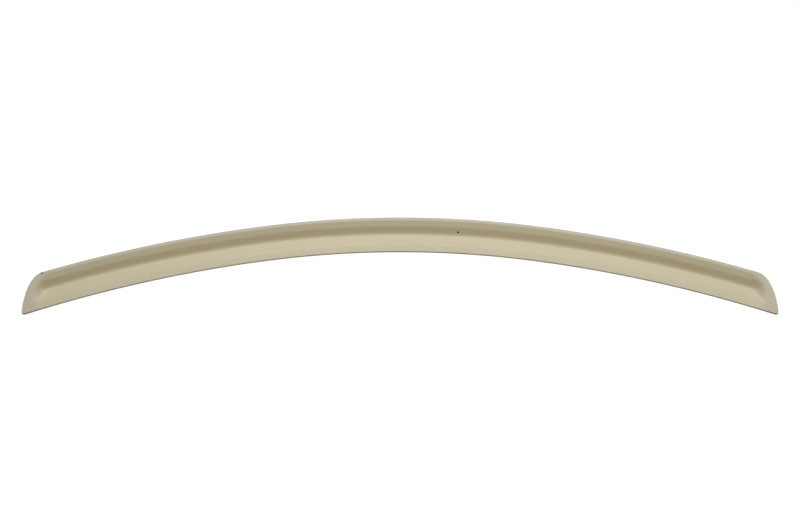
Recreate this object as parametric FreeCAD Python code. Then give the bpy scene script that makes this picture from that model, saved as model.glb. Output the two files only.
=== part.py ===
"""A bowed lip spoiler, cast in one piece: thin leading edge, concave cove, raised rim, closed rounded ends.

The lip lies on its flat bonding face. X runs along the lip, Y from the leading edge back to the rim, Z up.
The origin is on the bonding face, on the lip's centreline, halfway between the two adhesive recesses.
"""

import math
import os

import FreeCAD
import Part

# Bow of the leading edge in plan: a middle arc, and a flatter arc towards each end
LIP_LENGTH = 1180.0  # from tip to tip
BOW_RADIUS_MIDDLE = 1260.0
BOW_RADIUS_END = 1700.0
MIDDLE_ARC_HALF_WIDTH = 216.0

# Section across the lip, measured back from the leading edge and up from the bonding face
RIM_BACK = 52.6  # leading edge to the edge of the rim, before rounding
RIM_HEIGHT = 26.8  # before rounding
UNDERCUT = 7.6  # how far the back leans in from the rim to the bonding face
EDGE_THICKNESS = 3.2  # of the leading edge

# Cove, hollowed out of the sloping margin
FRONT_MARGIN = 8.0  # sloping margin in front of the cove
CREASE = 2.5  # length of the soft break between margin and shelf
SHELF_FRONT_HEIGHT = 7.7
SHELF_BACK_HEIGHT = 6.4
VALLEY_IN = 20.8  # edge of the rim to the corner that the valley rounds off
VALLEY_RUN = 8.0  # length of the soft break between shelf and wall
VALLEY_HEIGHT = 6.3
WALL_BREAK_IN = 12.3  # edge of the rim to where the wall starts to lean back more
WALL_BREAK_DROP = 9.0  # below the edge of the rim
SHOULDER_IN = 6.6  # edge of the rim to where the wall rolls over into the rim
SHOULDER_DROP = 3.7  # below the edge of the rim

# Rounded ends
END_CORNER_RUN = 50.0  # length of the corner, along the leading edge
END_CORNER_HANDLE = 20.0
TIP_HANDLE_ALONG = 9.5
TIP_HANDLE_BACK = 28.0
TIP_RADIUS = 4.0
END_MARGIN = 14.5  # sloping margin outside the cove's end
COVE_END_BLEND = 18.0  # length in which the cove reaches its full depth

# Edge rounding
TOP_ROUND = 0.9  # rim, ends and top of the leading edge
FOOT_ROUND = 0.6  # edge of the bonding face

# Adhesive recesses in the bonding face
RECESS_DEPTH = 0.8
RECESS_FRONT_LAND = 9.0  # leading edge to the first recess
RECESS_GAP = 7.0  # land between the two recesses
RECESS_BACK_LAND = 5.0  # second recess to the back of the bonding face
RECESS_END_LAND = 62.0  # tip to the end of a recess

# Casting pinholes: one on the right, at the foot of the cove's wall, and one on the left, on the rim
PINHOLE_COVE_RUN = 91.0  # along the leading edge from the centreline
PINHOLE_COVE_UP_WALL = 3.9  # distance back from the valley's corner
PINHOLE_COVE_RADIUS = 1.5
PINHOLE_RIM_FROM_TIP = 49.0
PINHOLE_RIM_IN = 2.6  # distance in from the edge of the rim
PINHOLE_RIM_RADIUS = 1.3

# Stations of the top skin, as distances along the leading edge
STATION_STEP = 110.0
END_STATION_STEP = 6.0
SKIN_OVERRUN = 15.0  # how far the skin runs past the tips and the edges
SKIN_TOP = 60.0

FOOT_DEPTH = RIM_BACK - UNDERCUT
RECESS_WIDTH = (FOOT_DEPTH - RECESS_FRONT_LAND - RECESS_GAP - RECESS_BACK_LAND) / 2
ORIGIN_BACK = RECESS_FRONT_LAND + RECESS_WIDTH + RECESS_GAP / 2
JOINT_ANGLE = math.asin(MIDDLE_ARC_HALF_WIDTH / BOW_RADIUS_MIDDLE)
JOINT_RUN = BOW_RADIUS_MIDDLE * JOINT_ANGLE
FRAME_SLOPE = (RIM_HEIGHT - EDGE_THICKNESS) / RIM_BACK
VALLEY_BACK = RIM_BACK - VALLEY_IN


def bow_angle(run):
    """Turn of the bow at a distance along the leading edge from the centreline."""
    if run <= JOINT_RUN:
        return run / BOW_RADIUS_MIDDLE
    return JOINT_ANGLE + (run - JOINT_RUN) / BOW_RADIUS_END


def on_bow(run, back, height):
    """The point at a distance along the leading edge, a distance back from it and a height."""
    side = math.copysign(1.0, run)
    angle = bow_angle(abs(run))
    x = (BOW_RADIUS_MIDDLE + back) * math.sin(angle)
    y = (BOW_RADIUS_MIDDLE + back) * math.cos(angle) - BOW_RADIUS_MIDDLE
    if abs(run) > JOINT_RUN:
        extra = BOW_RADIUS_END - BOW_RADIUS_MIDDLE
        x += extra * (math.sin(angle) - math.sin(JOINT_ANGLE))
        y += extra * (math.cos(angle) - math.cos(JOINT_ANGLE))
    return FreeCAD.Vector(side * x, y - ORIGIN_BACK, height)


def tip_run():
    """Distance along the leading edge to the tip, where the lip has its half length."""
    sine = LIP_LENGTH / 2 + (BOW_RADIUS_END - BOW_RADIUS_MIDDLE) * math.sin(JOINT_ANGLE)
    return JOINT_RUN + BOW_RADIUS_END * (math.asin(sine / BOW_RADIUS_END) - JOINT_ANGLE)


TIP_RUN = tip_run()


def bow_arc(start, end, back, height):
    """One arc of the bow between two distances along the leading edge."""
    points = [on_bow(run, back, height) for run in (start, (start + end) / 2, end)]
    return Part.Arc(*points).toShape()


def bow_arcs(reach, back, height):
    """The three arcs of the bow, from -reach to +reach."""
    stops = (-reach, -JOINT_RUN, JOINT_RUN, reach)
    return [bow_arc(a, b, back, height) for a, b in zip(stops, stops[1:])]


def end_poles(rear):
    """Poles of an end's outline, each as distance in from the tip and distance back from the leading edge."""
    corner = END_CORNER_RUN
    return (
        (0.0, 0.0),
        (TIP_HANDLE_ALONG, TIP_HANDLE_BACK * rear / RIM_BACK),
        (corner - END_CORNER_HANDLE, rear),
        (corner, rear),
    )


def end_curve(side, rear, height):
    """Outline of one end in plan, from the tip to the rear edge."""
    curve = Part.BezierCurve()
    curve.setPoles([on_bow(side * (TIP_RUN - along), back, height) for along, back in end_poles(rear)])
    return curve.toShape()


def outline_run(back):
    """How far in from the tip the rim's outline is, at a distance back from the leading edge."""
    poles = end_poles(RIM_BACK)

    def bezier(axis, share):
        a, b, c, d = (pole[axis] for pole in poles)
        rest = 1 - share
        return a * rest**3 + 3 * b * rest**2 * share + 3 * c * rest * share**2 + d * share**3

    low, high = 0.0, 1.0
    for _ in range(40):
        middle = (low + high) / 2
        if bezier(1, middle) < back:
            low = middle
        else:
            high = middle
    return bezier(0, low)


def outline_wire(rear, height):
    """The whole outline in plan, for a rear edge that far back."""
    rear_reach = TIP_RUN - END_CORNER_RUN
    edges = bow_arcs(TIP_RUN, 0.0, height)
    edges.append(end_curve(1, rear, height))
    edges += bow_arcs(rear_reach, rear, height)
    edges.append(end_curve(-1, rear, height))
    return Part.Wire(Part.__sortEdges__(edges))


def undercut_blank():
    """A slab with the lip's outline, whose back and ends lean in towards the bonding face."""
    top = RIM_HEIGHT + SKIN_OVERRUN
    lean = UNDERCUT / RIM_HEIGHT
    outlines = [outline_wire(FOOT_DEPTH, 0.0), outline_wire(FOOT_DEPTH + lean * top, top)]
    blank = Part.makeLoft(outlines, True, True)
    tips = [e for e in blank.Edges if is_tip_edge(e)]
    return blank.makeFillet(TIP_RADIUS, tips)


def is_tip_edge(edge):
    """True for the upright edge where an end meets the leading edge."""
    box = edge.BoundBox
    upright = box.ZLength > RIM_HEIGHT and box.XLength < TIP_RADIUS and box.YLength < TIP_RADIUS
    return upright and abs(abs(box.Center.x) - LIP_LENGTH / 2) < TIP_RADIUS


def frame_height(back):
    """Height of the sloping margin, which rises straight from the leading edge to the edge of the rim."""
    return EDGE_THICKNESS + FRAME_SLOPE * back


def skin_poles():
    """Poles of the skin's section: front margin, shelf, valley, wall and rim, with an overrun at each side."""
    front = -SKIN_OVERRUN
    margin_backs = (front, front / 3, 0.4 * FRONT_MARGIN, FRONT_MARGIN, FRONT_MARGIN + CREASE)
    margin = [(back, frame_height(back)) for back in margin_backs]
    shelf_front = (FRONT_MARGIN + 2 * CREASE, SHELF_FRONT_HEIGHT)
    shelf_back = (VALLEY_BACK - VALLEY_RUN, SHELF_BACK_HEIGHT)
    shelf = [shelf_front, between(shelf_front, shelf_back, 0.5), shelf_back]
    valley = (VALLEY_BACK, VALLEY_HEIGHT)
    wall_break = (RIM_BACK - WALL_BREAK_IN, RIM_HEIGHT - WALL_BREAK_DROP)
    shoulder = (RIM_BACK - SHOULDER_IN, RIM_HEIGHT - SHOULDER_DROP)
    lower_wall = [valley, between(valley, wall_break, 0.5), wall_break]
    upper_wall = [between(wall_break, shoulder, 0.5), shoulder]
    rim_slope = SHOULDER_DROP / SHOULDER_IN
    rim_overruns = (-SHOULDER_IN / 2, SKIN_OVERRUN / 5, SKIN_OVERRUN)
    rim = [(RIM_BACK + over, RIM_HEIGHT + rim_slope * over) for over in rim_overruns]
    return margin + shelf + lower_wall + upper_wall + rim


def between(start, end, share):
    """The place at a share of the way from one place in the section to another."""
    return (start[0] + (end[0] - start[0]) * share, start[1] + (end[1] - start[1]) * share)


def smooth_step(share):
    """0 below 0, 1 above 1, and a smooth climb between."""
    share = min(max(share, 0.0), 1.0)
    return share * share * (3 - 2 * share)


def cove_depth_share(run, back):
    """Share of the cove's full depth at a distance along the leading edge: it fades out before each end."""
    clear = TIP_RUN - abs(run) - outline_run(back) - END_MARGIN
    return smooth_step(clear / COVE_END_BLEND)


def skin_section(run):
    """Closed section of the space above the top skin at one station."""
    poles = []
    for back, height in skin_poles():
        frame = frame_height(back)
        poles.append(on_bow(run, back, frame + (height - frame) * cove_depth_share(run, back)))
    spline = Part.BSplineCurve()
    degree = 3
    spans = len(poles) - degree
    knots = [i / spans for i in range(spans + 1)]
    repeats = [degree + 1] + [1] * (spans - 1) + [degree + 1]
    spline.buildFromPolesMultsKnots(poles, repeats, knots, False, degree)
    over_behind = on_bow(run, RIM_BACK + SKIN_OVERRUN, SKIN_TOP)
    over_front = on_bow(run, -SKIN_OVERRUN, SKIN_TOP)
    edges = [spline.toShape(), Part.makeLine(poles[-1], over_behind)]
    edges += [Part.makeLine(over_behind, over_front), Part.makeLine(over_front, poles[0])]
    return Part.Wire(edges)


def stations():
    """Distances along the leading edge at which the top skin has a section, close together at the ends."""
    end_zone = TIP_RUN - END_CORNER_RUN - END_MARGIN - COVE_END_BLEND
    steps = math.ceil(end_zone / STATION_STEP)
    runs = [end_zone * i / steps for i in range(steps + 1)]
    left = TIP_RUN + SKIN_OVERRUN - end_zone
    end_steps = math.ceil(left / END_STATION_STEP)
    runs += [end_zone + left * i / end_steps for i in range(1, end_steps + 1)]
    return [-run for run in reversed(runs[1:])] + runs


def space_above_skin():
    """Everything above the lip's top skin, lofted through the stations."""
    return Part.makeLoft([skin_section(run) for run in stations()], True, False)


def is_on_side(edge, blank):
    """True for an edge whose middle lies on the blank's side, clear of the bonding face."""
    middle = edge.valueAt((edge.FirstParameter + edge.LastParameter) / 2)
    clear = edge.BoundBox.ZMin > EDGE_THICKNESS / 2
    return clear and blank.Shells[0].distToShape(Part.Vertex(middle))[0] < 0.001


def rounded(body, blank):
    """Rounds the top edge all the way round, and the edge of the bonding face."""
    body = body.makeFillet(TOP_ROUND, [edge for edge in body.Edges if is_on_side(edge, blank)])
    return body.makeFillet(FOOT_ROUND, [edge for edge in body.Edges if edge.BoundBox.ZMax < 0.001])


def recess(front):
    """One adhesive recess, its front side that far back from the leading edge."""
    reach = TIP_RUN - RECESS_END_LAND
    back = front + RECESS_WIDTH
    edges = bow_arcs(reach, front, 0.0) + bow_arcs(reach, back, 0.0)
    for side in (-reach, reach):
        edges.append(Part.makeLine(on_bow(side, front, 0.0), on_bow(side, back, 0.0)))
    face = Part.Face(Part.Wire(Part.__sortEdges__(edges)))
    return face.extrude(FreeCAD.Vector(0, 0, RECESS_DEPTH))


def pinhole(body, run, back, radius):
    """A round pit centred on the top skin."""
    plumb = Part.makeLine(on_bow(run, back, 0.0), on_bow(run, back, SKIN_TOP))
    height = body.common(plumb).BoundBox.ZMax
    return Part.makeSphere(radius, on_bow(run, back, height))


def lip():
    """The finished lip."""
    blank = undercut_blank()
    body = rounded(blank.cut(space_above_skin()).Solids[0], blank)
    second_recess = RECESS_FRONT_LAND + RECESS_WIDTH + RECESS_GAP
    cuts = [recess(RECESS_FRONT_LAND), recess(second_recess)]
    cuts.append(pinhole(body, PINHOLE_COVE_RUN, VALLEY_BACK + PINHOLE_COVE_UP_WALL, PINHOLE_COVE_RADIUS))
    cuts.append(pinhole(body, PINHOLE_RIM_FROM_TIP - TIP_RUN, RIM_BACK - PINHOLE_RIM_IN, PINHOLE_RIM_RADIUS))
    return body.cut(cuts).Solids[0]


os.makedirs("parts", exist_ok=True)
lip().exportStep("parts/lip_spoiler.step")
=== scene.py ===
"""A bowed lip spoiler in raw cast polyurethane, lying on a white floor and seen from its leading edge.

The lip's mesh is built from the CAD solid's dimensions, with finer rounds and a narrower rim. Lengths are in
metres. A place on the lip is given by its inset (distance in from the tip along the leading edge), its back
(distance back from the leading edge) and its height above the floor.
"""

import math
from collections import namedtuple

import bmesh
import bpy
import numpy as np
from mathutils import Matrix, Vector


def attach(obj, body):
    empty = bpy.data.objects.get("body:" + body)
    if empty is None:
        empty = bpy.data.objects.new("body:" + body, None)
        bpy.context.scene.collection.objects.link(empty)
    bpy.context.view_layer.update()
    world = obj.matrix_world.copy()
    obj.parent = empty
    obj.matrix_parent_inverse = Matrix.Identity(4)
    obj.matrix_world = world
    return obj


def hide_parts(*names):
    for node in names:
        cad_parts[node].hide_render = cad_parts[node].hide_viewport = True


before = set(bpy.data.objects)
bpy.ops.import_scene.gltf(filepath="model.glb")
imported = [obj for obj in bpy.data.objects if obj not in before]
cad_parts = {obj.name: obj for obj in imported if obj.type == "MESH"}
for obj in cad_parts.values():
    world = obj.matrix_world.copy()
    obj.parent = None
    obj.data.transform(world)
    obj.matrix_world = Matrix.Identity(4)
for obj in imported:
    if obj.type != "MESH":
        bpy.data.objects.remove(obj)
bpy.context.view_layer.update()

# Bow of the leading edge
LENGTH = 1.180
BOW_MIDDLE = 1.260
BOW_END = 1.700
MIDDLE_ARC_HALF_WIDTH = 0.216

# Section
RIM_BACK = 0.0526
RIM_HEIGHT = 0.0268
UNDERCUT = 0.0076
EDGE_THICKNESS = 0.0032
FRONT_MARGIN = 0.008
CREASE = 0.0025
SHELF_FRONT_HEIGHT = 0.0077
SHELF_BACK_HEIGHT = 0.0064
VALLEY_IN = 0.0208
VALLEY_RUN = 0.0080
VALLEY_HEIGHT = 0.0063
WALL_BREAK_IN = 0.0123
WALL_BREAK_DROP = 0.0090
SHOULDER_IN = 0.0051
SHOULDER_DROP = 0.0023
SKIN_OVERRUN = 0.015

# Shares along the section's straight stretches where it has a pole: the nearer to a bend, the crisper it is
MARGIN_POLE = 0.4
LOWER_WALL_POLE = 0.62
UPPER_WALL_POLES = (0.35, 0.75)
RIM_POLE = 0.22

# Ends
END_CORNER_RUN = 0.050
END_CORNER_HANDLE = 0.020
TIP_HANDLE = (0.0095, 0.028)
TIP_RADIUS = 0.004
END_MARGIN = 0.0145
COVE_END_BLEND = 0.018

# Rounds, and the largest share of a ring's width that a round may take
RIM_ROUND = 0.0009
EDGE_ROUND = 0.0009
FOOT_ROUND = 0.0006
ROUND_LIMIT = 0.4

# Bonding face, with the edges of its two recesses from back to front and the run of a recess's end wall
RECESS_DEPTH = 0.0008
RECESS_EDGES = (0.040, 0.028, 0.021, 0.009)
RECESS_END = 0.062
RECESS_WALL_RUN = 0.00002

# Casting pinholes, at the foot of the cove's wall on the right and on the rim on the left
PINHOLE_COVE_RUN = 0.091
PINHOLE_COVE_BACK = 0.0357
PINHOLE_COVE_RADIUS = 0.0015
PINHOLE_RIM_INSET = 0.049
PINHOLE_RIM_BACK = 0.0500
PINHOLE_RIM_RADIUS = 0.0013

# Shares of a pinhole's radius: its sloping side, and how far its painted shade fades out past it
PIT_SLOPE = 0.8
PIT_SHADE_SPREAD = 0.25

# Mesh: spacing of the rings, and close spacing to a reach of so many radii round a pinhole
RING_STEP = 0.005
FINE_STEP = 0.00025
FINE_REACH = 1.4

# Mesh: rings at an end and how they crowd towards the tip, and rows on each stretch of a ring
END_RINGS = 80
END_CROWDING = 1.6
SECTION_ROWS = (6, 10, 9, 80)
ROUND_ROWS = 6
BACK_ROWS = 5
FOOT_ROWS = 4

# Mesh: points on curves, the step that slopes are taken over, and the passes that find the rim's edge
SAMPLES = 4000
CURVE_POINTS = 600
ARC_POINTS = 24
SLOPE_STEP = 0.001
EDGE_PASSES = 4

# Mesh: limits, of which the first is how squarely a ring crosses an edge at the least
LEAST_CROSSING = 0.05
WELD_DISTANCE = 0.000004
SHARP_ANGLE = math.radians(50)
TINY = 1e-9

# Colours, linear
BEIGE = (0.574, 0.520, 0.362)
BEIGE_DEEP = (0.548, 0.490, 0.330)
# Painted shade: the ends darker, standing in for the lamps' light falling off towards them
END_PAINTED_SHADE = (0.506, 0.458, 0.326)
# Painted shade: the cove's steep wall browner and darker, standing in for shade and warm light bounced inside
# the cove
WALL_PAINTED_SHADE = (0.556, 0.470, 0.282)
# Painted reflection: the rim's back edge greyer and a little darker, standing in for the grazing reflection
# of the surroundings
RIM_PAINTED_REFLECTION = (0.486, 0.469, 0.399)
# Painted shade: near-black in the pinholes, where shade falls inside the pit
PIT_PAINTED_SHADE = (0.070, 0.042, 0.016)

# The skin's slopes between which the wall's painted shade, a darker brown, comes in, and the width over which
# the rim's painted reflection, a grey, does
WALL_STEEP = (0.98, 1.30)
RIM_REFLECTION_WIDTH = 0.0022

# How far below the skin its painted shade and painted reflection go, and the drop below the rim's round in
# which they end on the back face
SKIN_REACH = 2 * RIM_ROUND
TONE_END_DROP = 1.4 * RIM_ROUND

# Surface, with the size and detail of the mottle and of the cast texture
ROUGHNESS = 0.5
GLOSS = 0.55
MOTTLE = (14.0, 3.0)
TEXTURE = (160.0, 4.0)
TEXTURE_STRENGTH = 0.12
TEXTURE_DEPTH = 0.0004

# Floor: its size, its colour, and the light added where it is seen, which makes it white
FLOOR_SIZE = 30.0
FLOOR_GREY = 0.38
FLOOR_GLOW = 0.73

# Light from the room and from two lamps
ROOM_TINT = (1.0, 0.92, 0.78)
ROOM_STRENGTH = 0.15
OVERHEAD = {"place": (0.14, 0.05, 1.9), "target": (0.05, 0, 0), "size": (1.2, 1.0), "power": 27.5}
BACK_CARD = {"place": (0, 1.9, 2.3), "target": (0, 0, 0), "size": (3.0, 1.4), "power": 22}

# Camera, seen from the middle of the leading edge
CAMERA_DISTANCE = 3.0
CAMERA_ELEVATION = math.radians(50)
CAMERA_LENS = 84.15
CAMERA_SHIFT = (-0.0001, -0.017)

ORIGIN_BACK = (RECESS_EDGES[1] + RECESS_EDGES[2]) / 2
FOOT_DEPTH = RIM_BACK - UNDERCUT
VALLEY_BACK = RIM_BACK - VALLEY_IN
CREASE_END = FRONT_MARGIN + 2.4 * CREASE
WALL_START = VALLEY_BACK - VALLEY_RUN / 4
JOINT_ANGLE = math.asin(MIDDLE_ARC_HALF_WIDTH / BOW_MIDDLE)
JOINT_RUN = BOW_MIDDLE * JOINT_ANGLE
FRAME_SLOPE = (RIM_HEIGHT - EDGE_THICKNESS) / RIM_BACK


def tip_run():
    """Distance along the leading edge from the centreline to the tip."""
    sine = (LENGTH / 2 + (BOW_END - BOW_MIDDLE) * math.sin(JOINT_ANGLE)) / BOW_END
    return JOINT_RUN + BOW_END * (math.asin(sine) - JOINT_ANGLE)


TIP_RUN = tip_run()

Pinhole = namedtuple("Pinhole", "side inset back radius")
COVE_PINHOLE = Pinhole(1, TIP_RUN - PINHOLE_COVE_RUN, PINHOLE_COVE_BACK, PINHOLE_COVE_RADIUS)
RIM_PINHOLE = Pinhole(-1, PINHOLE_RIM_INSET, PINHOLE_RIM_BACK, PINHOLE_RIM_RADIUS)


def on_bow(side, inset, back, height):
    """Points in the row frame for arrays of places on one side of the lip."""
    run = TIP_RUN - inset
    outer = run > JOINT_RUN
    angle = np.where(outer, JOINT_ANGLE + (run - JOINT_RUN) / BOW_END, run / BOW_MIDDLE)
    extra = np.where(outer, BOW_END - BOW_MIDDLE, 0.0)
    x = (BOW_MIDDLE + back) * np.sin(angle) + extra * (np.sin(angle) - math.sin(JOINT_ANGLE))
    y = (BOW_MIDDLE + back) * np.cos(angle) + extra * (np.cos(angle) - math.cos(JOINT_ANGLE))
    return np.stack((side * x, y - BOW_MIDDLE - ORIGIN_BACK, height + 0 * x), axis=-1)


def smooth_step(share):
    """0 below 0, 1 above 1, and a smooth climb between."""
    share = np.clip(share, 0, 1)
    return share * share * (3 - 2 * share)


def bezier(poles, share):
    """Points on a cubic curve at an array of shares from 0 to 1."""
    a, b, c, d = (np.array(pole)[None, :] for pole in poles)
    share = share[:, None]
    rest = 1 - share
    return a * rest**3 + 3 * b * rest**2 * share + 3 * c * rest * share**2 + d * share**3


def end_poles(rear):
    """Poles of the end's outline as (inset, back), for a rear edge that far back."""
    handle = (TIP_HANDLE[0], TIP_HANDLE[1] * rear / RIM_BACK)
    return ((0.0, 0.0), handle, (END_CORNER_RUN - END_CORNER_HANDLE, rear), (END_CORNER_RUN, rear))


def frame_height(back):
    """Height of the sloping margin, which rises straight from the leading edge to the edge of the rim."""
    return EDGE_THICKNESS + FRAME_SLOPE * back


def skin_poles():
    """Poles of the top skin's section as arrays of back and height, with the cove at its full depth."""
    front = -SKIN_OVERRUN
    margin = np.array([front, front / 3, MARGIN_POLE * FRONT_MARGIN, FRONT_MARGIN, FRONT_MARGIN + CREASE])
    shelf_front = np.array([FRONT_MARGIN + 2 * CREASE, SHELF_FRONT_HEIGHT])
    shelf_back = np.array([VALLEY_BACK - VALLEY_RUN, SHELF_BACK_HEIGHT])
    valley = np.array([VALLEY_BACK, VALLEY_HEIGHT])
    wall_break = np.array([RIM_BACK - WALL_BREAK_IN, RIM_HEIGHT - WALL_BREAK_DROP])
    lower_wall = valley + (wall_break - valley) * LOWER_WALL_POLE
    shoulder = np.array([RIM_BACK - SHOULDER_IN, RIM_HEIGHT - SHOULDER_DROP])
    upper_wall = [wall_break + (shoulder - wall_break) * share for share in UPPER_WALL_POLES]
    rim_slope = SHOULDER_DROP / SHOULDER_IN
    rim_overruns = np.array([(RIM_POLE - 1) * SHOULDER_IN, SKIN_OVERRUN / 5, SKIN_OVERRUN])
    poles = np.concatenate((
        np.column_stack((margin, frame_height(margin))),
        [shelf_front, (shelf_front + shelf_back) / 2, shelf_back],
        [valley, lower_wall, wall_break, *upper_wall, shoulder],
        np.column_stack((RIM_BACK + rim_overruns, RIM_HEIGHT + rim_slope * rim_overruns)),
    ))
    return poles[:, 0], poles[:, 1]


def spline_basis(count, share):
    """Weights of the poles of a clamped cubic spline with even knots, at an array of shares from 0 to 1."""
    spans = count - 3
    knots = np.concatenate(([0.0] * 3, np.linspace(0, 1, spans + 1), [1.0] * 3))
    share = np.clip(share, 0.0, 1.0 - TINY)[:, None]
    basis = ((share >= knots[:-1]) & (share < knots[1:])).astype(float)
    for degree in (1, 2, 3):
        low, high = knots[: -degree - 1], knots[degree + 1 :]
        rise = np.maximum(knots[degree:-1] - low, TINY)
        fall = np.maximum(high - knots[1:-degree], TINY)
        basis = (share - low) / rise * basis[:, :-1] + (high - share) / fall * basis[:, 1:]
    return basis


SKIN_BACKS, SKIN_HEIGHTS = skin_poles()
FINE_SHARES = np.linspace(0, 1, SAMPLES)
FINE_BACKS = spline_basis(len(SKIN_BACKS), FINE_SHARES) @ SKIN_BACKS
OUTLINE = bezier(end_poles(RIM_BACK), FINE_SHARES)


def cove_depth(inset, back):
    """Share of the cove's full depth at arrays of places. The cove fades out before the end's outline."""
    outline = np.interp(back, OUTLINE[:, 1], OUTLINE[:, 0])
    return smooth_step((inset - outline - END_MARGIN) / COVE_END_BLEND)


def skin_height(inset, back):
    """Height of the top skin at arrays of places."""
    weights = spline_basis(len(SKIN_BACKS), np.interp(back, FINE_BACKS, FINE_SHARES))
    frame_poles = frame_height(SKIN_BACKS)
    depth = cove_depth(inset[:, None], SKIN_BACKS)
    return np.sum(weights * (frame_poles + (SKIN_HEIGHTS - frame_poles) * depth), axis=1)


def height_at(place):
    """Height of the top skin at one (inset, back)."""
    return skin_height(place[:1], place[1:])[0]


def along(path, shares):
    """Points at the given shares of a polyline's length."""
    steps = np.linalg.norm(np.diff(path, axis=0), axis=1)
    length = np.concatenate(([0.0], np.cumsum(steps)))
    return np.stack([np.interp(shares * length[-1], length, path[:, axis]) for axis in (0, 1)], axis=1)


def tip_arc(rear):
    """Half angle at the tip, and the centre of the tip's round, for an end with that rear edge."""
    handle = end_poles(rear)[1]
    half = math.atan2(handle[1], handle[0]) / 2
    return half, np.array([TIP_RADIUS / math.tan(half), TIP_RADIUS])


def end_paths(rear):
    """The leading edge and the end's outline as polylines in (inset, back), both ending in mid-tip."""
    half, centre = tip_arc(rear)
    middle = half - math.pi
    sweep = np.linspace(0, 1, ARC_POINTS)[:, None]

    def arc(start):
        angle = start + (middle - start) * sweep
        return centre + TIP_RADIUS * np.concatenate((np.cos(angle), np.sin(angle)), axis=1)

    front = np.concatenate(([[RECESS_END, 0.0]], arc(-math.pi / 2)))
    curve = bezier(end_poles(rear), np.linspace(1, 0, CURVE_POINTS))
    curve = curve[np.linalg.norm(curve, axis=1) > centre[0]]
    outline = np.concatenate(([[RECESS_END, rear]], curve, arc(2 * middle + math.pi / 2)))
    return front, outline


def inward(path_points, towards):
    """Unit normals of a polyline's points, turned towards other points."""
    tangent = np.gradient(path_points, axis=0)
    normal = np.stack((-tangent[:, 1], tangent[:, 0]), axis=1)
    normal /= np.maximum(np.linalg.norm(normal, axis=1, keepdims=True), TINY)
    facing = np.sum(normal * (towards - path_points), axis=1, keepdims=True)
    return np.where(facing < 0, -normal, normal)


def half_rings(fine_insets):
    """Places and inward normals at the front, crest and foot of a half's rings, from middle to tip."""
    even_insets = np.arange(TIP_RUN, RECESS_END, -RING_STEP)
    before_end = fine_insets[fine_insets > RECESS_END]
    main = np.unique(np.concatenate((even_insets, before_end, [RECESS_END + RECESS_WALL_RUN])))[::-1]
    front_path, crest_path = end_paths(RIM_BACK)
    foot_path = end_paths(FOOT_DEPTH)[1]
    crest_insets = along(crest_path, FINE_SHARES)[:, 0]
    at_end = fine_insets[fine_insets < RECESS_END]
    at_end = np.interp(at_end, crest_insets[::-1], FINE_SHARES[::-1])
    shares = 1 - (1 - np.linspace(0, 1, END_RINGS)) ** END_CROWDING
    shares = np.unique(np.concatenate((shares, at_end)))
    front, crest, foot = (along(path, shares) for path in (front_path, crest_path, foot_path))
    front_normal = inward(front, crest)
    rear_normal = inward(crest, front)
    front_normal[-1] = front_normal[-2]
    rear_normal[-1] = rear_normal[-2]
    straight = np.ones_like(main)

    def joined(back, end):
        return np.concatenate((np.stack((main, back * straight), axis=1), end))

    up = np.tile((0.0, 1.0), (len(main), 1))
    return {
        "front": joined(0.0, front),
        "crest": joined(RIM_BACK, crest),
        "foot": joined(FOOT_DEPTH, foot),
        "front_normal": np.concatenate((up, front_normal)),
        "rear_normal": np.concatenate((-up, rear_normal)),
        "recessed": np.concatenate((straight, 0 * shares)),
    }


def round_drop(distance, radius):
    """Depth of a rounded edge below the skin, at a distance in from the edge."""
    short = np.clip(radius - distance, 0.0, radius)
    return radius - np.sqrt(radius**2 - short**2)


def section_shares():
    """Shares across the skin between its two rounds, close together at the crease, valley, wall and rim."""
    stops = (EDGE_ROUND, FRONT_MARGIN, CREASE_END, WALL_START, RIM_BACK - RIM_ROUND)
    spans = zip(stops, stops[1:], SECTION_ROWS)
    backs = np.concatenate([np.linspace(a, b, count, endpoint=False) for a, b, count in spans])
    return (backs[1:] - EDGE_ROUND) / (RIM_BACK - RIM_ROUND - EDGE_ROUND)


def rim_edge(foot, lean, crest):
    """Place where the back face, rising from the foot with that lean, meets the skin."""
    edge = crest
    for _ in range(EDGE_PASSES):
        edge = foot + lean * height_at(edge)
    return edge


def skin_row(front, front_normal, rear_normal, edge, tilt):
    """Places across the skin of one ring, rounded over to the front face and to a back face of that tilt."""
    slope = math.atan((height_at(edge) - height_at(edge + SLOPE_STEP * rear_normal)) / SLOPE_STEP)
    wedge = math.pi / 2 - tilt - slope
    # The axis of the rim's round, in from its edge and down from it
    axis_in = RIM_ROUND / math.sin(wedge / 2) * math.cos(slope + wedge / 2)
    axis_down = RIM_ROUND / math.sin(wedge / 2) * math.sin(slope + wedge / 2)
    across = edge + rear_normal * (axis_in - RIM_ROUND) - front
    width = max(np.linalg.norm(across), TINY)
    front_crossing = max(abs(across @ front_normal) / width, LEAST_CROSSING)
    rear_crossing = max(abs(across @ rear_normal) / width, LEAST_CROSSING)
    rear_reach = RIM_ROUND * (1 - math.sin(slope))
    front_share = min(EDGE_ROUND / front_crossing / width, ROUND_LIMIT)
    rear_share = min(rear_reach / rear_crossing / width, ROUND_LIMIT)
    turn = 1 - np.cos(np.linspace(0, math.pi / 2, ROUND_ROWS))
    inner = front_share + (1 - front_share - rear_share) * section_shares()
    shares = np.concatenate((turn * front_share, inner, 1 - turn[::-1] * rear_share))
    plan = front + shares[:, None] * across
    from_front = shares * width * front_crossing
    from_rear = np.minimum((1 - shares) * width * rear_crossing, rear_reach)
    rear_drop = round_drop(from_rear, RIM_ROUND) + axis_down - RIM_ROUND
    rear_drop -= math.tan(slope) * (axis_in - RIM_ROUND + from_rear)
    drop = np.maximum(round_drop(from_front, EDGE_ROUND), rear_drop)
    return np.column_stack((plan, skin_height(plan[:, 0], plan[:, 1]) - drop))


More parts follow.
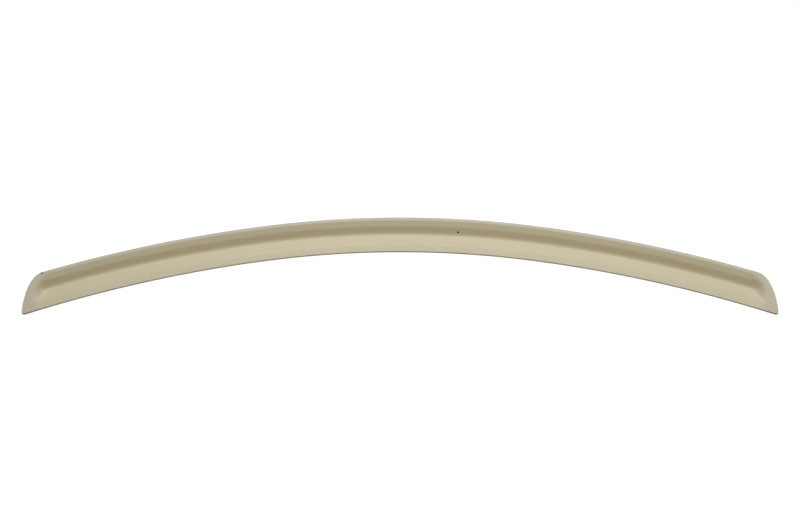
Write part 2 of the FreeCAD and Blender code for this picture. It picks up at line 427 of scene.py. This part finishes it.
def back_row(foot, lean, top):
    """Places down the back face of one ring, from a top height to the round of its foot."""
    heights = np.linspace(top - TONE_END_DROP, FOOT_ROUND, BACK_ROWS)
    heights = np.concatenate(([top], heights))
    return np.column_stack((foot + lean * heights[:, None], heights))


def foot_row(start, normal):
    """Places round an edge of the bonding face, from where its face ends down to the floor."""
    angle = np.linspace(0, math.pi / 2, FOOT_ROWS)
    curl, lift = FOOT_ROUND * (1 - np.cos(angle)), FOOT_ROUND * (1 - np.sin(angle))
    return np.column_stack((start + normal * curl[:, None], lift))


def bonding_row(front, foot, depth):
    """Places across the bonding face of one ring, from back to front, with recesses of that depth."""
    shares = np.repeat(RECESS_EDGES, 2) / FOOT_DEPTH
    heights = np.tile((0.0, depth, depth, 0.0), 2)
    return np.column_stack((front + shares[:, None] * (foot - front), heights))


def ring_places(rings, index):
    """Places (inset, back, height) around one ring: front, skin, back and bonding face."""
    front, crest, foot = (rings[name][index] for name in ("front", "crest", "foot"))
    front_normal, rear_normal = rings["front_normal"][index], rings["rear_normal"][index]
    lean = (crest - foot) / RIM_HEIGHT
    tilt = math.atan(max(-lean @ rear_normal, 0.0))
    skin = skin_row(front, front_normal, rear_normal, rim_edge(foot, lean, crest), tilt)
    back = back_row(foot, lean, skin[-1, 2] - RIM_ROUND * math.sin(tilt))
    foot_round = foot_row(foot + lean * FOOT_ROUND, rear_normal)[1:]
    front_round = foot_row(front, front_normal)[::-1]
    depth = RECESS_DEPTH * rings["recessed"][index]
    bonding = bonding_row(front_round[0, :2], foot_round[-1, :2], depth)
    return np.concatenate((front_round, skin, back, foot_round, bonding))


def tones(places):
    """Shares at an array of places of painted shade at the darker ends, of painted shade that makes the
    cove's steep wall browner, and of a painted reflection that makes the rim's edge greyer.
    """
    inset, back, height = places.reshape(-1, 3).T
    skin = skin_height(inset, back)
    on_skin = np.abs(skin - height) < SKIN_REACH
    steepness = (skin_height(inset, back + FINE_STEP) - skin) / FINE_STEP
    # Painted shade at the ends, where the cove has faded out
    end = (1 - cove_depth(inset, back)) * on_skin
    # Painted shade on the cove's steep wall
    wall_shade = smooth_step((steepness - WALL_STEEP[0]) / (WALL_STEEP[1] - WALL_STEEP[0])) * on_skin
    # Painted reflection along the rim's back edge
    rim_reflection = smooth_step((back - RIM_BACK + 2 * RIM_REFLECTION_WIDTH) / RIM_REFLECTION_WIDTH) * on_skin
    return np.stack((end, wall_shade, rim_reflection), axis=-1).reshape(*places.shape[:2], 3)


def half_points(pinhole):
    """Points of the half that has a pinhole, as an array of rings, each point followed by its three tones."""
    reach = FINE_REACH * pinhole.radius
    rings = half_rings(np.arange(pinhole.inset - reach, pinhole.inset + reach, FINE_STEP))
    places = np.array([ring_places(rings, index) for index in range(len(rings["front"]))])
    points = on_bow(pinhole.side, places[..., 0], places[..., 1], places[..., 2])
    return np.concatenate((points, tones(places)), axis=-1)


def sink_pinhole(points, normals, pinhole):
    """Presses a round pit into the points near a pinhole, and returns how dark its painted shade makes each
    point.
    """
    inset, back = np.array([pinhole.inset]), np.array([pinhole.back])
    centre = on_bow(pinhole.side, inset, back, skin_height(inset, back))[0]
    inside = 1 - np.linalg.norm(points - centre, axis=1) / pinhole.radius
    points -= normals * pinhole.radius * smooth_step(inside / PIT_SLOPE)[:, None]
    return smooth_step((inside + PIT_SHADE_SPREAD) / PIT_SHADE_SPREAD)


def add_tone(mesh, name, values):
    """Keeps a tone's share at each point of a mesh."""
    mesh.attributes.new(name, "FLOAT", "POINT").data.foreach_set("value", values)


def weld(mesh):
    """Joins points that coincide at the tips and recess ends, and turns all faces outward."""
    shape = bmesh.new()
    shape.from_mesh(mesh)
    bmesh.ops.remove_doubles(shape, verts=shape.verts, dist=WELD_DISTANCE)
    bmesh.ops.recalc_face_normals(shape, faces=shape.faces)
    shape.to_mesh(mesh)
    shape.free()


def press_pinholes(mesh):
    """Presses both pinholes into the mesh and keeps their painted shade."""
    points = np.array([v.co for v in mesh.vertices])
    normals = np.array([v.normal for v in mesh.vertices])
    pit_shade = sum(sink_pinhole(points, normals, pinhole) for pinhole in (COVE_PINHOLE, RIM_PINHOLE))
    mesh.vertices.foreach_set("co", points.ravel())
    add_tone(mesh, "pit_shade", pit_shade)
    mesh.update()


def lip_mesh():
    """The lip as one closed mesh, made of rings from the left tip to the right."""
    rings = np.concatenate((half_points(RIM_PINHOLE)[::-1], half_points(COVE_PINHOLE)[1:]))
    count, loop = rings.shape[:2]
    first = np.arange(count - 1)[:, None] * loop
    here, after = np.arange(loop), np.roll(np.arange(loop), -1)
    quads = np.stack((first + here, first + loop + here, first + loop + after, first + after), axis=-1)
    mesh = bpy.data.meshes.new("lip_spoiler_skin")
    mesh.from_pydata(rings[..., :3].reshape(-1, 3).tolist(), [], quads.reshape(-1, 4).tolist())
    # Painted shade at the ends and on the cove's wall, and the painted reflection on the rim
    for column, tone in enumerate(("end", "wall_shade", "rim_reflection"), start=3):
        add_tone(mesh, tone, rings[..., column].ravel())
    lip = bpy.data.objects.new("lip_spoiler_skin", mesh)
    bpy.context.collection.objects.link(lip)
    weld(mesh)
    press_pinholes(mesh)
    mesh.shade_smooth()
    mesh.set_sharp_from_angle(angle=SHARP_ANGLE)
    return lip


def raw_polyurethane():
    """Beige casting resin with a faint mottle and a semi-matte cast surface, with painted shade at the ends,
    on the cove's wall and in the pinholes, and a painted reflection on the rim.
    """
    material = bpy.data.materials.new("raw_polyurethane")
    material.use_nodes = True
    nodes, links = material.node_tree.nodes, material.node_tree.links
    shader = nodes["Principled BSDF"]
    shader.inputs["Roughness"].default_value = ROUGHNESS
    shader.inputs["Specular IOR Level"].default_value = GLOSS
    place = nodes.new("ShaderNodeTexCoord").outputs["Object"]

    def noise(scale, detail):
        node = nodes.new("ShaderNodeTexNoise")
        node.inputs["Scale"].default_value = scale
        node.inputs["Detail"].default_value = detail
        links.new(place, node.inputs["Vector"])
        return node.outputs["Fac"]

    def mix(share, tint):
        node = nodes.new("ShaderNodeMix")
        node.data_type = "RGBA"
        node.inputs["B"].default_value = (*tint, 1)
        links.new(share, node.inputs["Factor"])
        return node

    mottle = mix(noise(*MOTTLE), BEIGE_DEEP)
    mottle.inputs["A"].default_value = (*BEIGE, 1)
    colour = mottle.outputs["Result"]
    # Painted shade at the ends, on the cove's wall and in the pinholes, and a painted reflection on the rim
    tints = {"end": END_PAINTED_SHADE, "wall_shade": WALL_PAINTED_SHADE, "rim_reflection": RIM_PAINTED_REFLECTION, "pit_shade": PIT_PAINTED_SHADE}
    for tone, tint in tints.items():
        share = nodes.new("ShaderNodeAttribute")
        share.attribute_name = tone
        toned = mix(share.outputs["Fac"], tint)
        links.new(colour, toned.inputs["A"])
        colour = toned.outputs["Result"]
    links.new(colour, shader.inputs["Base Color"])
    bump = nodes.new("ShaderNodeBump")
    bump.inputs["Strength"].default_value = TEXTURE_STRENGTH
    bump.inputs["Distance"].default_value = TEXTURE_DEPTH
    links.new(noise(*TEXTURE), bump.inputs["Height"])
    links.new(bump.outputs["Normal"], shader.inputs["Normal"])
    return material


def white_floor():
    """A white floor that keeps the lip's shadow."""
    bpy.ops.mesh.primitive_plane_add(size=FLOOR_SIZE)
    floor = bpy.context.object
    floor.name = "floor"
    material = bpy.data.materials.new("floor_white")
    material.use_nodes = True
    nodes, links = material.node_tree.nodes, material.node_tree.links
    nodes.remove(nodes["Principled BSDF"])
    diffuse = nodes.new("ShaderNodeBsdfDiffuse")
    diffuse.inputs["Color"].default_value = (FLOOR_GREY, FLOOR_GREY, FLOOR_GREY, 1)
    glow = nodes.new("ShaderNodeEmission")
    path = nodes.new("ShaderNodeLightPath")

    def math_node(operation, first, second):
        node = nodes.new("ShaderNodeMath")
        node.operation = operation
        links.new(first, node.inputs[0])
        if isinstance(second, float):
            node.inputs[1].default_value = second
        else:
            links.new(second, node.inputs[1])
        return node.outputs["Value"]

    seen = math_node("ADD", path.outputs["Is Camera Ray"], path.outputs["Is Glossy Ray"])
    seen = math_node("ADD", seen, path.outputs["Is Transmission Ray"])
    links.new(math_node("MULTIPLY", seen, FLOOR_GLOW), glow.inputs["Strength"])
    both = nodes.new("ShaderNodeAddShader")
    links.new(diffuse.outputs["BSDF"], both.inputs[0])
    links.new(glow.outputs["Emission"], both.inputs[1])
    links.new(both.outputs["Shader"], nodes["Material Output"].inputs["Surface"])
    floor.data.materials.append(material)
    return floor


def aim(thing, target):
    """Turns a lamp or camera towards a point."""
    thing.rotation_euler = (Vector(target) - thing.location).to_track_quat("-Z", "Y").to_euler()


def add_light(name, place, target, size, power):
    """A soft rectangular lamp."""
    lamp = bpy.data.lights.new(name, "AREA")
    lamp.shape = "RECTANGLE"
    lamp.size, lamp.size_y = size
    lamp.energy = power
    thing = bpy.data.objects.new(name, lamp)
    bpy.context.collection.objects.link(thing)
    thing.location = place
    aim(thing, target)


def add_world():
    """Even, slightly warm light from all round."""
    world = bpy.data.worlds.new("studio")
    bpy.context.scene.world = world
    world.use_nodes = True
    background = world.node_tree.nodes["Background"]
    background.inputs["Color"].default_value = (*ROOM_TINT, 1)
    background.inputs["Strength"].default_value = ROOM_STRENGTH


def add_camera():
    """Camera in front of the leading edge, looking down at its middle."""
    camera = bpy.data.cameras.new("camera")
    camera.lens = CAMERA_LENS
    camera.shift_x, camera.shift_y = CAMERA_SHIFT
    thing = bpy.data.objects.new("camera", camera)
    bpy.context.collection.objects.link(thing)
    reach = CAMERA_DISTANCE * math.cos(CAMERA_ELEVATION)
    thing.location = (0, -ORIGIN_BACK - reach, CAMERA_DISTANCE * math.sin(CAMERA_ELEVATION))
    aim(thing, (0, -ORIGIN_BACK, 0))
    bpy.context.scene.camera = thing


lip = lip_mesh()
lip.data.materials.append(raw_polyurethane())
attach(lip, "root")
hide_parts("lip_spoiler")
white_floor()
add_world()
add_light("overhead", **OVERHEAD)
add_light("back_card", **BACK_CARD)
add_camera()
bpy.context.scene.view_settings.view_transform = "Standard"
